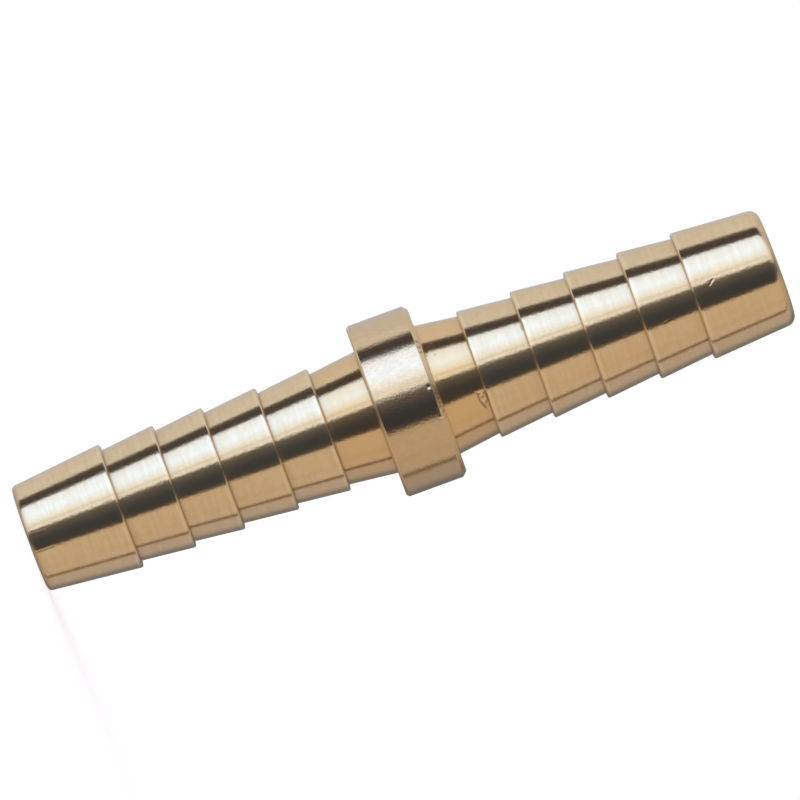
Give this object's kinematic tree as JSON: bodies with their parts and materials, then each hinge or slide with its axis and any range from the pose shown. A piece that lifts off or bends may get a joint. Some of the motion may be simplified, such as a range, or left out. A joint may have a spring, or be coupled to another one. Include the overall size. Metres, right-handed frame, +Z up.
{
  "type": "hose connector",
  "caption": "Straight brass hose joiner turned from one bar: a barbed tail for push-on hose on each side of a plain round collar, with one bore right through.",
  "frame": {"origin": "centre of the lower tail's end face, on the axis of the bore", "axes": "+Z up along the axis of the bore, from the lower tail through the collar to the upper tail"},
  "size_m": [0.0126, 0.0126, 0.0557],
  "materials": {
    "brass": "bright turned brass with fine lathe marks round it, and the duller drawn skin of the bar on the collar's rim"
  },
  "bodies": {
    "root": {"connector_body": "brass"}
  },
  "joints": []
}
